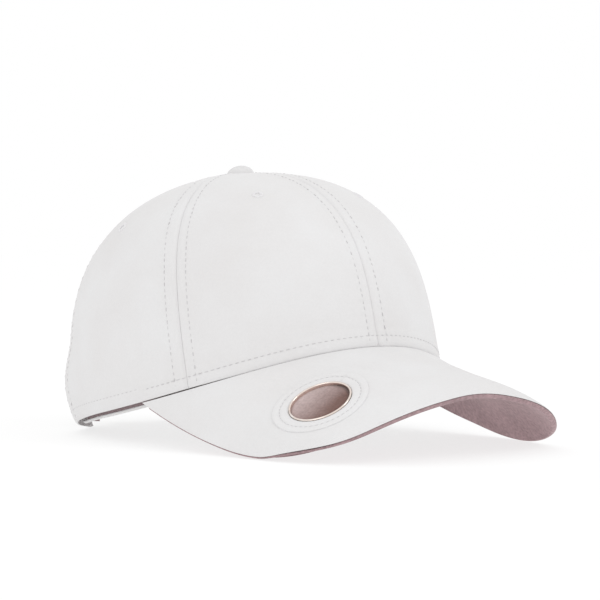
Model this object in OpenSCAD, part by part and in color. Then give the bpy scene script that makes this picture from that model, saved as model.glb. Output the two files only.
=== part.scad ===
// Structured six-panel cap with a curved visor, a round metal-rimmed recess in the
// visor's right half and a fabric strap with a clip buckle across the back opening.
// The cap rests on the low sides of its visor and on the two corners of its back opening.
// Wearer's right is -X, the visor points to -Y, and the cap is tipped nose-up as it rests.

/* [Crown] */
// Outer width of the crown at the hem
crown_w = 176; // [160:1:190]
// Length from the crown's middle to its front seam
front_len = 102.4; // [94:0.2:110]
// Length from the crown's middle to its back
back_len = 96.5; // [88:0.5:104]
// Height of the crown's top above its hem plane
crown_h = 109.7; // [100:0.1:120]
// Nose-up tilt of the resting cap
pitch = 13.74; // [10:0.01:18]
// Thickness of one crown panel
panel_t = 0.9; // [0.6:0.1:1.2]
// How far the lower back of the crown swells outward
bulge = 3.4; // [0:0.1:5]

/* [Visor] */
// Length of the visor's outline from its corners to its front edge
visor_len = 142.7; // [130:0.1:150]
// Squareness of the visor's outline, 2 is an ellipse
visor_square = 3.12; // [2.4:0.02:3.6]
// Radius of the visor's arch beside the crown
arch_r = 91; // [85:1:110]
// Forward drop of the visor per millimetre
visor_drop = 0.531; // [0.4:0.001:0.7]
// Thickness of the whole visor
visor_t = 2.9; // [2.8:0.1:4]
// Rise of the visor's sides over a plain arch
edge_rise = 1.8; // [0:0.1:2.5]
// Rise of the visor between the crown and its outer edge
visor_hump = 1.5; // [0:0.1:2]
// Dip of the visor's sides between the crown and its outer edge
visor_dip = 2.1; // [0:0.05:3]

/* [Visor recess] */
// Radius of the metal ring's bore
ring_bore_r = 14; // [12:0.1:16]
// Radius of the ring's barrel
ring_barrel_r = 14.6; // [13:0.1:17]
// Place of the recess across the visor
ring_x = -54; // [-56:0.5:-44]
// Place of the recess in front of the crown's middle
ring_y = -120.5; // [-126:0.5:-114]
// Outer radius of the fabric facing around the ring
facing_r = 23; // [20:0.5:25]

/* [Back closure] */
// Half angle of the back opening
opening_a = 32; // [24:1:33]
// Height of the back opening as a share of the crown's height
arch_v = 0.5; // [0.4:0.01:0.55]
// Width of the closure strap
strap_w = 20; // [16:0.5:22]
// Height of the strap's lower edge above the hem plane
strap_z = 13; // [12:0.5:16]
// Angle from the crown's back to the buckle's middle
buckle_a = 17; // [14:0.5:17.5]

/* [Button and eyelets] */
// Diameter of the covered top button
button_d = 14.5; // [12:0.5:16]
// Height of the covered top button
button_h = 6; // [5:0.5:7]
// Height of the vent eyelets as a share of the crown's height
eyelet_v = 0.79; // [0.7:0.01:0.82]

/* [Hidden] */
half_w = crown_w / 2;
apex_y = -14;
// Hem height as a short cosine series of the angle round the crown
hem_c = [-0.97, 4.4, 0.93];
hem_tail = 2.4;
// Squareness of the crown's side curve at front, side and back, across and up
n_front = 1.6;
n_side = 2.37;
n_back = 2.6;
m_front = 3.24;
m_side = 3.3;
m_back = 2.3;
bulge_v = 0.17;
bulge_span = 0.22;
// Rows are even in height up to v_mid and even in angle above it
v_mid = 0.62;
top_r = 0.05;
rows_low = 7;
rows_high = 8;
step_a = 7.5;
side_seam_a = 60;
back_seam_a = 120;
arch_start_a = 180 - opening_a;
// Layers inside the crown, measured inward from its outer face
buckram_in = 1.2;
buckram_t = 0.5;
tape_in = 1.95;
tape_t = 0.5;
tape_half_w = 6;
band_in = 2.75;
band_t = 1.3;
band_h = 32;
band_tuck = 4.8;
label_gap = 0.25;
label_a = arch_start_a - 4;
label_span_a = 14;
// Visor outline and arch
corner_a = 76;
corner_x = half_w * sin(corner_a);
corner_y = -front_len * cos(corner_a);
corner_gap = -corner_y;
arch_taper = -0.083;
arch_line = 0.9;
flat_share = 0.85;
flat_phi = acos(pow(flat_share, visor_square / 2));
cover_t = 0.7;
visor_gap = 0.22;
welt_w = 1.4;
// Strap circle, which follows the crown's back hem
strap_r = 80.2;
strap_y = back_len - strap_r;
strap_in = 77.2;
strap_t = 0.9;
tab_in = 78.3;
tab_t = 0.75;
strap_sewn_a = 48;
strap_tail_a = 44;
tab_sewn_a = 46;
strap_mid_z = strap_z + strap_w / 2;
// Buckle, in a frame at the strap: x along the strap, y outward, z up the strap's width
cheek_t = 1.2;
cheek_gap = strap_w + 0.8;
buckle_l = 14;
plate_back = 10;
pin_r = 0.8;
pin_y = 3.2;
pin_x = -2.4;
pin_fit = 0.05;
knuckle_r = 2.1;
plate_t = 0.8;
plate_gap = 0.4;
lever_l = 11.5;
bar_x = -6.2;
bar_y = 2.55;
bar_r = 0.7;
ring_lip_r = 0.5;
ring_top = 1;
ring_low = -0.7;
disc_t = 0.6;
facing_low = 0.4;
facing_high = 0.9;
shank_r = 1.6;
eyelet_r = 2.8;
eyelet_bore_r = 1.25;
// Height that sets the lowest solid on the ground, and the move that centres the cap
lift = 19.395;
centre_y = 33.312;
white = [0.9, 0.9, 0.91];
mauve = [0.6, 0.51, 0.52];
metal = [0.78, 0.77, 0.75];
antique = [0.5, 0.46, 0.36];

// ---- Crown surface: t is the angle from the front seam, positive to wearer's left ----
function ease(s) = let (c = max(0, min(1, s))) c * c * (3 - 2 * c);
function mix(a, b, w) = a + (b - a) * w;
function wave(t) = hem_c[0] * cos(t) + hem_c[1] * cos(2 * t) + hem_c[2] * cos(3 * t);
function hem_z(t) = wave(t) - hem_tail * ease((abs(t) - 95) / 53);
function pow_n(t) = n_side + (cos(t) > 0 ? n_front - n_side : n_back - n_side) * pow(cos(t), 2);
function pow_m(t) = m_side + (cos(t) > 0 ? m_front - m_side : m_back - m_side) * pow(cos(t), 2);
function base_x(t, i) = (half_w - i) * sin(t);
function base_y(t, i) = -((cos(t) > 0 ? front_len : back_len) - i) * cos(t);
function swell(t, v) = bulge / 90 * max(0, min(1, 0.4 - cos(t)))
    * pow(max(0, 1 - pow((v - bulge_v) / bulge_span, 2)), 2);
function radius_at(t, v) = pow(max(0, 1 - pow(v, pow_m(t))), 1 / pow_n(t));
function crown_point(t, v, i, full) =
    let (r = radius_at(t, v) * (1 + full * swell(t, v)), z = hem_z(t))
    [base_x(t, i) * r, apex_y + (base_y(t, i) - apex_y) * r, z + (crown_h - i - z) * v];
function psi_of(t, v) = asin(pow(v, pow_m(t) / 2));
function top_psi(t) = acos(pow(top_r, pow_n(t) / 2));
function row_v(t, k, low) = k <= rows_low
    ? mix(low, v_mid, k / rows_low)
    : pow(sin(mix(psi_of(t, v_mid), top_psi(t), (k - rows_low) / rows_high)), 2 / pow_m(t));
// The lower edge of the back panels rises over the opening as a half ellipse
function arch_low(t) = abs(t) <= arch_start_a ? 0
    : arch_v * sqrt(max(0, 1 - pow((180 - abs(t)) / opening_a, 2)));

// ---- Solids from two matching grids of points ----
function flat(grid) = [for (row = grid) for (p = row) p];
function quads(n, m, base, turn) = [for (j = [0:n - 2]) for (i = [0:m - 2])
    let (a = base + j * m + i, b = a + 1, c = b + m, d = a + m)
    each (turn ? [[a, c, b], [a, d, c]] : [[a, b, c], [a, c, d]])];
function rim(n, m, s) = concat(
    [for (i = [0:m - 2]) each [[i, i + 1, i + 1 + s], [i, i + 1 + s, i + s]]],
    [for (i = [0:m - 2]) let (a = (n - 1) * m + i) each [[a + 1, a, a + 1 + s], [a, a + s, a + 1 + s]]],
    [for (j = [0:n - 2]) let (a = j * m) each [[a + m, a, a + m + s], [a, a + s, a + m + s]]],
    [for (j = [0:n - 2]) let (a = j * m + m - 1) each [[a, a + m, a + m + s], [a, a + m + s, a + s]]]);
module skin(outer, inner) {
    n = len(outer);
    m = len(outer[0]);
    polyhedron(points = concat(flat(outer), flat(inner)),
        faces = concat(quads(n, m, 0, true), quads(n, m, n * m, false), rim(n, m, n * m)),
        convexity = 6);
}
// A closed ring of sections: each row of the grid is one closed outline
module sweep(rings) {
    n = len(rings);
    m = len(rings[0]);
    polyhedron(points = flat(rings), faces = concat(
        [for (j = [0:n - 2]) for (i = [0:m - 1]) let (a = j * m + i, b = j * m + (i + 1) % m)
            each [[a, b, b + m], [a, b + m, a + m]]],
        [[for (i = [m - 1:-1:0]) i]], [[for (i = [0:m - 1]) (n - 1) * m + i]]), convexity = 6);
}

// The same round a closed loop, with no end faces
module loop_sweep(rings) {
    n = len(rings);
    m = len(rings[0]);
    polyhedron(points = flat(rings), faces = [for (j = [0:n - 1]) for (i = [0:m - 1])
        let (a = j * m + i, b = j * m + (i + 1) % m, c = ((j + 1) % n) * m + (i + 1) % m,
            d = ((j + 1) % n) * m + i) each [[a, b, c], [a, c, d]]], convexity = 6);
}

module rest() {
    translate([0, centre_y, lift])
        rotate([-pitch, 0, 0])
            children();
}

function span(a, b) = let (n = max(1, round(abs(b - a) / step_a))) [for (k = [0:n]) mix(a, b, k / n)];
function crown_grid(angles, i) = [for (t = angles)
    [for (k = [0:rows_low + rows_high]) crown_point(t, row_v(t, k, arch_low(t)), i, 1)]];
module crown_shell(angles, i, t) {
    skin(crown_grid(angles, i + t), crown_grid(angles, i));
}
// The eyelet of each panel stands square to the panel at the middle of its width
module at_eyelet(t) {
    p = crown_point(t, eyelet_v, 0, 1);
    along = crown_point(t + 0.5, eyelet_v, 0, 1) - crown_point(t - 0.5, eyelet_v, 0, 1);
    up = crown_point(t, eyelet_v + 0.01, 0, 1) - crown_point(t, eyelet_v - 0.01, 0, 1);
    n = cross(along, up);
    translate(p)
        rotate([0, acos(n[2] / norm(n)), atan2(n[1], n[0])])
            children();
}
module panel(a, b) {
    color(white)
        rest()
            difference() {
                crown_shell(span(a, b), 0, panel_t);
                at_eyelet((a + b) / 2)
                    cylinder(r = eyelet_r + 0.1, h = 8, center = true, $fn = 24);
            }
}
// The back panels get closer columns where the opening's edge is steep
function back_span() = concat(span(back_seam_a, arch_start_a),
    [for (k = [1:10]) 180 - opening_a * cos(9 * k)]);
module back_panel(side) {
    angles = back_span();
    signed = side > 0 ? angles : [for (k = [len(angles) - 1:-1:0]) -angles[k]];
    color(white)
        rest()
            difference() {
                crown_shell(signed, 0, panel_t);
                at_eyelet(side * (back_seam_a + 30))
                    cylinder(r = eyelet_r + 0.1, h = 8, center = true, $fn = 24);
            }
}
module front_panel_right() { panel(-side_seam_a, 0); }
module front_panel_left() { panel(0, side_seam_a); }
module side_panel_right() { panel(-back_seam_a, -side_seam_a); }
module side_panel_left() { panel(side_seam_a, back_seam_a); }
module back_panel_right() { back_panel(-1); }
module back_panel_left() { back_panel(1); }

// Stiff open-weave backing of the two front panels, clear of the eyelets
module buckram(a, b) {
    color([0.85, 0.85, 0.84])
        rest()
            difference() {
                crown_shell(span(a, b), buckram_in, buckram_t);
                at_eyelet((a + b) / 2)
                    cylinder(r = eyelet_r + 0.6, h = 10, center = true, $fn = 24);
            }
}
module buckram_right() { buckram(-side_seam_a + step_a, -step_a); }
module buckram_left() { buckram(step_a, side_seam_a - step_a); }

// Folded tape over each seam's inside, of even width down the crown
function tape_row(t, k, i, low) =
    let (v = row_v(t, k, low), p = crown_point(t, v, i, 1),
        q = crown_point(t + 1, v, i, 1) - crown_point(t - 1, v, i, 1), u = q / norm(q),
        w = min(tape_half_w, 6 * norm(q)))
    [for (s = [-1, -0.5, 0.5, 1]) p + u * s * w - 0.12 * s * s * cross(u, [0, 0, 1])];
module tape(t, low) {
    last = rows_low + rows_high - 1;
    color(white)
        rest()
            skin([for (k = [0:last]) tape_row(t, k, tape_in, low)],
                [for (k = [0:last]) tape_row(t, k, tape_in + tape_t, low)]);
}
module seam_tape_front() { tape(0, 0.02); }
module seam_tape_front_right() { tape(-side_seam_a, 0.02); }
module seam_tape_front_left() { tape(side_seam_a, 0.02); }
module seam_tape_back_right() { tape(-back_seam_a, 0.02); }
module seam_tape_back_left() { tape(back_seam_a, 0.02); }
module seam_tape_back() { tape(180, arch_v + 0.03); }

// The sweatband draws inward behind the back corners, to leave the strap its pocket
function band_inset(t) = band_in + (band_tuck - band_in) * ease((abs(t) - 104) / 18);
function band_grid(angles, i, low, high, slack) = [for (t = angles) [for (k = [0:3])
    crown_point(t, (low + (high - low) * k / 3) / crown_h, band_inset(t) + i + slack, 0)]];
module sweatband() {
    angles = span(-arch_start_a + 1, arch_start_a - 1);
    color(mauve)
        rest()
            skin(band_grid(angles, band_t, 1, band_h, 0), band_grid(angles, 0, 1, band_h, 0));
}
module blank_size_label() {
    angles = span(-label_a, -label_a + label_span_a);
    color(white)
        rest()
            skin(band_grid(angles, band_t + 0.4, 8, 24, label_gap),
                band_grid(angles, band_t, 8, 24, label_gap));
}

// Folded binding round the back opening, which closes the panels' raw edge
function binding_ring(a) =
    let (t1 = 180 - (opening_a - 0.12) * cos(a), v1 = (arch_v - 0.0015) * sin(a),
        t2 = 180 - (opening_a - 1.6) * cos(a), v2 = (arch_v - 0.022) * sin(a))
    [crown_point(t1, v1, -0.3, 1), crown_point(t2, v2, -0.3, 1),
        crown_point(t2, v2, 1.0, 1), crown_point(t1, v1, 1.0, 1)];
module back_opening_binding() {
    color(white)
        rest()
            sweep([for (k = [20:-1:0]) binding_ring(9 * k)]);
}

// ---- Visor surface: s runs across from -1 to 1, w from the crown to the outer edge ----
function visor_u(s) = abs(s) <= 0.6 ? s / 0.6 * flat_share
    : sign(s) * pow(cos(mix(0.3, flat_phi, pow(1 - (abs(s) - 0.6) / 0.4, 1.6))), 2 / visor_square);
function arch_at(d) = arch_r + arch_taper * d;
function sag(x, r) = let (line = arch_line * r, c = min(abs(x), line))
    r - sqrt(r * r - c * c) + max(abs(x) - line, 0) * line / sqrt(r * r - line * line);
function side_rise(x, y) = edge_rise * ease((abs(x) - 15) / 40) * ease((-y - 35) / 50);
function visor_z(x, y) = let (d = -y - front_len)
    hem_z(0) - visor_drop * d - sag(x, arch_at(d)) + side_rise(x, y);
function visor_join(x) = let (t = asin(x / half_w)) [x, -front_len * cos(t), hem_z(t)];
function visor_rim(x) = let (u = min(1, abs(x) / corner_x),
    y = corner_y - visor_len * pow(1 - pow(u, visor_square), 1 / visor_square)) [x, y, visor_z(x, y)];
function visor_reach(p, q) = norm(q - p) / (visor_len - front_len + corner_gap);
function visor_swell(x, w) = (1 - ease((abs(x) - 57) / 25)) * (visor_hump * sin(180 * pow(w, 3))
    - visor_dip * ease((abs(x) - 20) / 36) * ease(w / 0.3) * sin(180 * pow(w, 0.66)));
function visor_top(x, w) = let (p = visor_join(x), q = visor_rim(x))
    mix(p, q, w) + [0, 0, visor_reach(p, q) * visor_swell(x, w)];
function visor_normal(x, w) =
    let (e = 0.4, c = max(-corner_x + e, min(corner_x - e, x)),
        low = max(0, w - 0.02), high = min(1, w + 0.02),
        across = visor_top(c + e, w) - visor_top(c - e, w), out = visor_top(c, high) - visor_top(c, low),
        n = cross(out, across)) n / norm(n);
function visor_point(x, w, depth) = visor_top(x, w) - depth * visor_normal(x, w);
visor_cols = [for (k = [-20:20]) visor_u(k / 20)];
visor_rows = [0.02, 0.2, 0.4, 0.6, 0.8, 1];
function visor_grid(depth, edge) = [for (u = visor_cols) [for (w = visor_rows)
    let (p = visor_point(u * corner_x, w, depth), c = visor_point(u * corner_x * 0.95, w * 0.95, depth))
    p + (w == 1 ? edge * (p - c) / norm(p - c) : [0, 0, 0])]];
module visor_layer(depth, t, edge) {
    rest()
        skin(visor_grid(depth, edge), visor_grid(depth + t, edge));
}
ring_w = (ring_y - visor_join(ring_x)[1]) / (visor_rim(ring_x)[1] - visor_join(ring_x)[1]);
ring_n = visor_normal(ring_x, ring_w);
module at_ring() {
    rest()
        translate(visor_top(ring_x, ring_w))
            rotate([0, acos(ring_n[2]), atan2(ring_n[1], ring_n[0])])
                children();
}
module ring_cut() {
    at_ring()
        cylinder(r = ring_bore_r + 2 * ring_lip_r + 0.1, h = 20, center = true, $fn = 64);
}
module visor_top_cover() {
    color(white)
        difference() {
            visor_layer(0, cover_t, 0);
            ring_cut();
        }
}
module visor_board() {
    color([0.8, 0.8, 0.78])
        difference() {
            visor_layer(cover_t + visor_gap, visor_t - 2 * (cover_t + visor_gap), -welt_w - 0.3);
            ring_cut();
        }
}
module visor_bottom_cover() {
    color(mauve)
        visor_layer(visor_t - cover_t, cover_t, 0);
}
// The sewn allowance between the two covers, all along the visor's outer edge
function welt_ring(u) =
    let (x = u * corner_x, a = cover_t + visor_gap, b = visor_t - cover_t - visor_gap,
        p = visor_point(x, 1, a), q = visor_point(x, 1, b),
        c = visor_point(x * 0.95, 0.95, a), e = visor_point(x * 0.95, 0.95, b))
    [p, p - welt_w * (p - c) / norm(p - c), q - welt_w * (q - e) / norm(q - e), q];
module visor_edge_welt() {
    color(mauve)
        rest()
            sweep([for (k = [2:len(visor_cols) - 3]) welt_ring(visor_cols[k])]);
}

// ---- Round recess in the visor's right half ----
// Rolled metal ring: a straight barrel with a round lip on top
module recess_ring() {
    color(metal)
        at_ring()
            rotate_extrude($fn = 96)
                union() {
                    translate([ring_bore_r, ring_low])
                        square([ring_barrel_r - ring_bore_r, ring_top - ring_lip_r - ring_low]);
                    translate([ring_bore_r + ring_lip_r, ring_top - ring_lip_r])
                        circle(r = ring_lip_r, $fn = 32);
                }
}
// Thin fabric-covered plate that closes the ring's bore from below
module recess_disc() {
    color(mauve)
        at_ring()
            translate([0, 0, ring_low - 0.05 - disc_t])
                cylinder(r = ring_barrel_r - 0.1, h = disc_t, $fn = 64);
}
// A fabric facing lies over the top cover and follows its curve round the ring
function surface_at(p, depth) =
    let (w = (p[1] - visor_join(p[0])[1]) / (visor_rim(p[0])[1] - visor_join(p[0])[1]))
    visor_point(p[0], w, depth);
ring_c = visor_top(ring_x, ring_w);
ring_u = cross([0, 1, 0], ring_n) / norm(cross([0, 1, 0], ring_n));
ring_v = cross(ring_n, ring_u);
function facing_point(a, r, depth) =
    let (p = ring_c + r * (cos(a) * ring_u + sin(a) * ring_v),
        q = p - ring_n * ((p - surface_at(p, 0)) * ring_n))
    surface_at(q, depth);
facing_in_r = ring_bore_r + 2 * ring_lip_r + 0.3;
facing_mid_r = (facing_in_r + facing_r) / 2;
module recess_facing() {
    color(white)
        rest()
            loop_sweep([for (k = [47:-1:0]) let (a = k * 7.5)
                [facing_point(a, facing_in_r, -facing_high), facing_point(a, facing_mid_r, -facing_high),
                    facing_point(a, facing_r, -facing_high), facing_point(a, facing_r, -facing_low),
                    facing_point(a, facing_mid_r, -facing_low), facing_point(a, facing_in_r, -facing_low)]]);
}

// ---- Top button and vent eyelets ----
module top_button_shell() {
    color(white)
        rest()
            translate([0, apex_y, crown_h])
                rotate_extrude($fn = 64)
                    polygon(concat([for (a = [0:9:81]) [button_d / 2 * cos(a), button_h * sin(a)]],
                        [[0, button_h], [0, button_h - 2], [shank_r + 0.1, button_h - 2], [shank_r + 0.1, 0]]));
}
module top_button_shank() {
    color(metal)
        rest()
            translate([0, apex_y, crown_h - 4])
                cylinder(r = shank_r, h = 4 + button_h - 2.1, $fn = 32);
}
module vent_eyelets() {
    color(white)
        rest()
            for (t = [-150, -90, -30, 30, 90, 150])
                at_eyelet(t)
                    translate([0, 0, -panel_t - 0.1])
                        rotate_extrude($fn = 32)
                            translate([eyelet_bore_r, 0])
                                square([eyelet_r - eyelet_bore_r, panel_t + 0.5]);
}

// ---- Back closure: everything lies on one circle round the strap's centre ----
module on_strap() {
    rest()
        translate([0, strap_y, 0])
            children();
}
module band_arc(r, t, a, b, z, h) {
    translate([0, 0, z])
        rotate([0, 0, 90 + a])
            rotate_extrude(angle = b - a, $fn = 180)
                translate([r, 0])
                    square([t, h]);
}
module closure_strap() {
    color(white)
        on_strap()
            band_arc(strap_in, strap_t, -strap_sewn_a, strap_tail_a, strap_z, strap_w);
}
module at_buckle() {
    on_strap()
        rotate([0, 0, buckle_a])
            translate([0, strap_in, strap_mid_z])
                children();
}
tab_w = strap_w - 2;
module buckle_tab() {
    bar_a = buckle_a - bar_x / strap_in * 180 / PI;
    color(white) {
        on_strap()
            band_arc(tab_in, tab_t, bar_a + 0.9, tab_sewn_a, strap_mid_z - tab_w / 2, tab_w);
        at_buckle()
            translate([bar_x, bar_y, 0])
                difference() {
                    cylinder(r = bar_r + 0.75, h = tab_w, center = true, $fn = 32);
                    cylinder(r = bar_r + 0.05, h = tab_w + 1, center = true, $fn = 32);
                }
    }
}
module buckle_frame() {
    color(antique)
        at_buckle() {
            translate([buckle_l / 2 - plate_back, -plate_t - plate_gap, -cheek_gap / 2])
                cube([plate_back, plate_t, cheek_gap]);
            translate([bar_x, bar_y, 0])
                cylinder(r = bar_r, h = cheek_gap, center = true, $fn = 32);
            for (s = [-1, 1])
                translate([0, 0, s * (cheek_gap + cheek_t) / 2])
                    difference() {
                        translate([-buckle_l / 2, -plate_t - plate_gap, -cheek_t / 2])
                            cube([buckle_l, plate_t + plate_gap + pin_y + pin_r + 0.8, cheek_t]);
                        translate([pin_x, pin_y, 0])
                            cylinder(r = pin_r, h = cheek_t + 1, center = true, $fn = 32);
                    }
        }
}
module buckle_pin() {
    color(metal)
        at_buckle()
            translate([pin_x, pin_y, 0])
                cylinder(r = pin_r, h = cheek_gap + 2 * cheek_t, center = true, $fn = 32);
}
module buckle_lever() {
    lever_w = cheek_gap - 0.6;
    color(antique)
        at_buckle()
            translate([pin_x, pin_y, 0])
                difference() {
                    union() {
                        cylinder(r = knuckle_r, h = lever_w, center = true, $fn = 48);
                        translate([0, knuckle_r - plate_t, -lever_w / 2])
                            cube([lever_l, plate_t, lever_w]);
                        translate([lever_l, knuckle_r - plate_t / 2, 0])
                            cylinder(r = 0.8, h = lever_w, center = true, $fn = 32);
                    }
                    cylinder(r = pin_r + pin_fit, h = lever_w + 1, center = true, $fn = 32);
                }
}

front_panel_right();
front_panel_left();
side_panel_right();
side_panel_left();
back_panel_right();
back_panel_left();
buckram_right();
buckram_left();
seam_tape_front();
seam_tape_front_right();
seam_tape_front_left();
seam_tape_back_right();
seam_tape_back_left();
seam_tape_back();
sweatband();
blank_size_label();
back_opening_binding();
visor_top_cover();
visor_board();
visor_bottom_cover();
visor_edge_welt();
recess_ring();
recess_facing();
recess_disc();
top_button_shell();
top_button_shank();
vent_eyelets();
closure_strap();
buckle_tab();
buckle_frame();
buckle_pin();
buckle_lever();
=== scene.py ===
"""Looks of the structured cap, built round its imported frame: cloth, stitches, visor, ring and buckle."""

import math

import bpy
import numpy as np
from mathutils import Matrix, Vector

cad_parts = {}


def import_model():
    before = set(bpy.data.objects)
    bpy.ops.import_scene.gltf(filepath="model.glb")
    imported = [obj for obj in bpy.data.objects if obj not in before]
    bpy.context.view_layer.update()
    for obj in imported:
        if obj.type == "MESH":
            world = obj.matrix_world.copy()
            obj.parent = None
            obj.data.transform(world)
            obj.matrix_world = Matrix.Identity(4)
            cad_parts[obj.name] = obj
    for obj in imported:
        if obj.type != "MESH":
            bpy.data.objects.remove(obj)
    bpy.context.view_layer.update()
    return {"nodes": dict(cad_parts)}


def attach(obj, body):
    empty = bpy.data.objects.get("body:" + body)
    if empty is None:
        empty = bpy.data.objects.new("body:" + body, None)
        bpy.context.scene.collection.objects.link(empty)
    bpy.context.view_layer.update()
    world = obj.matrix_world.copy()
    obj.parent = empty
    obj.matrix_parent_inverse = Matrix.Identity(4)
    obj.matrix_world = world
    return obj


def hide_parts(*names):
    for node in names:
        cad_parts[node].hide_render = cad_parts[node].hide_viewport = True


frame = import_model()
nodes = frame["nodes"]

# ---- The cap's dimensions in mm, in the crown's own frame, as in the CAD source ----
HALF_W, FRONT_LEN, BACK_LEN, CROWN_H, APEX_Y = 88.0, 102.4, 96.5, 109.7, -14.0
PITCH, CENTRE_Y, LIFT = math.radians(13.74), 33.312, 19.395
HEM_WAVE, HEM_TAIL = (-0.97, 4.4, 0.93), 2.4
ACROSS = (1.6, 2.37, 2.6)  # squareness at front, side and back
UPWARD = (3.24, 3.3, 2.3)
BULGE, BULGE_V, BULGE_SPAN = 3.4, 0.17, 0.22
V_MID, TOP_R = 0.62, 0.05
PANEL_T, SIDE_SEAM, BACK_SEAM = 0.9, 60.0, 120.0
OPENING_A, ARCH_V = 32.0, 0.5
VISOR_LEN, VISOR_SQUARE, ARCH_R, ARCH_TAPER, VISOR_DROP = 142.7, 3.12, 91.0, -0.083, 0.531
CORNER_A, VISOR_T, COVER_T, EDGE_RISE, VISOR_HUMP, VISOR_DIP = 76.0, 2.9, 0.7, 1.8, 1.5, 2.1
RING_X, RING_Y, RING_BORE, RING_LIP, RING_TOP, RING_LOW = -54.0, -120.5, 14.0, 0.5, 1.0, -0.7
STRAP_R, STRAP_IN, STRAP_T, STRAP_W, STRAP_Z = 80.2, 77.2, 0.9, 20.0, 13.0
EYELET_V = 0.79
SEAMS = (0, -SIDE_SEAM, SIDE_SEAM, -BACK_SEAM, BACK_SEAM, 180)
TOPSTITCH, SIDE_ROW = 5.2, 6.5  # from a seam to its rows of stitches, and on the side panels' front edges
HEM_STITCH, VISOR_STITCH = 6.4, 5.5  # from the hem up to its row of stitches, and where the visor is sewn on
HEM_GAP = 0.5  # from the hem up to the lower edge of the side panels' cloth
NO_HEM = 60  # a height where the hem leaves no mark, given to the cloth over the back opening
STITCH_LIFT = 0.02  # how far a row of stitches is lifted off the cloth that it runs on
UP = np.array([0, 0, 1.0])
rng = np.random.default_rng(7)

# ---- Small maths ----


def ease(x):
    """A smooth step from 0 at x = 0 to 1 at x = 1."""
    c = np.clip(x, 0, 1)
    return c * c * (3 - 2 * c)


def mix(a, b, w):
    return a + (b - a) * w


def bell(x, width):
    """A smooth hump, 1 high at x = 0."""
    return np.exp(-((x / width) ** 2))


def unit(v):
    """Vectors scaled to length 1."""
    return v / np.maximum(np.linalg.norm(v, axis=-1, keepdims=True), 1e-12)


def cosd(t):
    return np.cos(np.radians(t))


def sind(t):
    return np.sin(np.radians(t))


def round_about(turn, u, v):
    """Directions at angles turn, in radians, in the plane of u and v."""
    return np.cos(turn)[..., None] * u + np.sin(turn)[..., None] * v


def walk(points):
    """Length along a line of points, from 0."""
    return np.concatenate([[0], np.cumsum(np.linalg.norm(np.diff(points, axis=0), axis=1))])


def outline_length(outline):
    """Length round an outline up to each of its points."""
    return np.cumsum(np.hypot(*np.gradient(np.asarray(outline, float), axis=0).T))


def steps_along(p, axis):
    """Distance walked along one axis of a grid of points, from 0."""
    step = np.linalg.norm(np.diff(p, axis=axis), axis=-1)
    return np.concatenate([np.zeros_like(step.take([0], axis)), np.cumsum(step, axis)], axis)


def pair_grid(a, b):
    """Two broadcast arrays as the (u, v) pairs of a grid."""
    return np.stack(np.broadcast_arrays(a, b), -1)


def place(p):
    """Points in mm in the crown's frame, in metres in the row frame."""
    c, s = math.cos(PITCH), math.sin(PITCH)
    x, y, z = p[..., 0], p[..., 1], p[..., 2]
    return np.stack([x, y * c + z * s + CENTRE_Y, -y * s + z * c + LIFT], -1) / 1000


# ---- Crown surface: t is the angle from the front seam, v the share of the height ----


def hem_z(t):
    """Height of the hem's wavy line at angle t."""
    a, b, c = HEM_WAVE
    away = np.abs(t)
    return a * cosd(t) + b * cosd(2 * t) + c * cosd(3 * t) - HEM_TAIL * ease((away - 95) / 53)


def power(t, values):
    """A power at angle t, blended between its values at front, side and back."""
    front, side, back = values
    c = cosd(t)
    return side + np.where(c > 0, front - side, back - side) * c * c


def crown_point(t, v, inset=0.0, full=1.0):
    """The crown's surface, or a copy that lies inset mm inside it; full is the share of the back's bulge."""
    t, v = np.broadcast_arrays(np.asarray(t, float), np.asarray(v, float))
    lobe = np.maximum(0, 1 - ((v - BULGE_V) / BULGE_SPAN) ** 2) ** 2
    swell = BULGE / 90 * np.clip(0.4 - cosd(t), 0, 1) * lobe
    r = np.maximum(0, 1 - np.clip(v, 0, 1) ** power(t, UPWARD)) ** (1 / power(t, ACROSS))
    r = r * (1 + full * swell)
    length = np.where(cosd(t) > 0, FRONT_LEN, BACK_LEN) - inset
    x, y, z = (HALF_W - inset) * sind(t), -length * cosd(t), hem_z(t)
    return np.stack([x * r, APEX_Y + (y - APEX_Y) * r, z + (CROWN_H - inset - z) * v], -1)


def crown_normal(t, v):
    """The way straight out of the crown."""
    t, v = np.broadcast_arrays(np.asarray(t, float), np.asarray(v, float))
    lo, hi = np.clip(v - 0.004, 0, 0.995), np.clip(v + 0.004, 0.008, 1)
    along = crown_point(t + 0.4, v) - crown_point(t - 0.4, v)
    up = crown_point(t, hi) - crown_point(t, lo)
    return unit(np.cross(along, up))


def row_v(t, k, low):
    """Height of row k, from 0 at the lower edge to 1 at the top, evenly spread along the panel."""
    m, n = power(t, UPWARD), power(t, ACROSS)
    psi0 = np.arcsin(V_MID ** (m / 2))
    psi1 = np.arccos(TOP_R ** (n / 2))
    upper = np.sin(mix(psi0, psi1, np.clip(2 * k - 1, 0, 1))) ** (2 / m)
    return np.where(k <= 0.5, mix(low, V_MID, 2 * k), upper)


def arch_low(t):
    """Height of the panels' lower edge: a hair above the hem at the sides, and an arch at the back."""
    reach = np.clip((180 - np.abs(t)) / OPENING_A, 0, 1)
    gap = HEM_GAP / CROWN_H * ease((np.abs(t) - 40) / 25) * (1 - ease((np.abs(t) - 120) / 20))
    return ARCH_V * np.sqrt(1 - reach**2) + gap


# Long soft waves of the cloth, the same on both sides of every seam
WAVES = [
    (rng.normal(size=3) * f, rng.uniform(0, 6.28), a)
    for f, a in ((0.03, 0.5), (0.045, 0.35), (0.07, 0.2), (0.12, 0.09))
]


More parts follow.
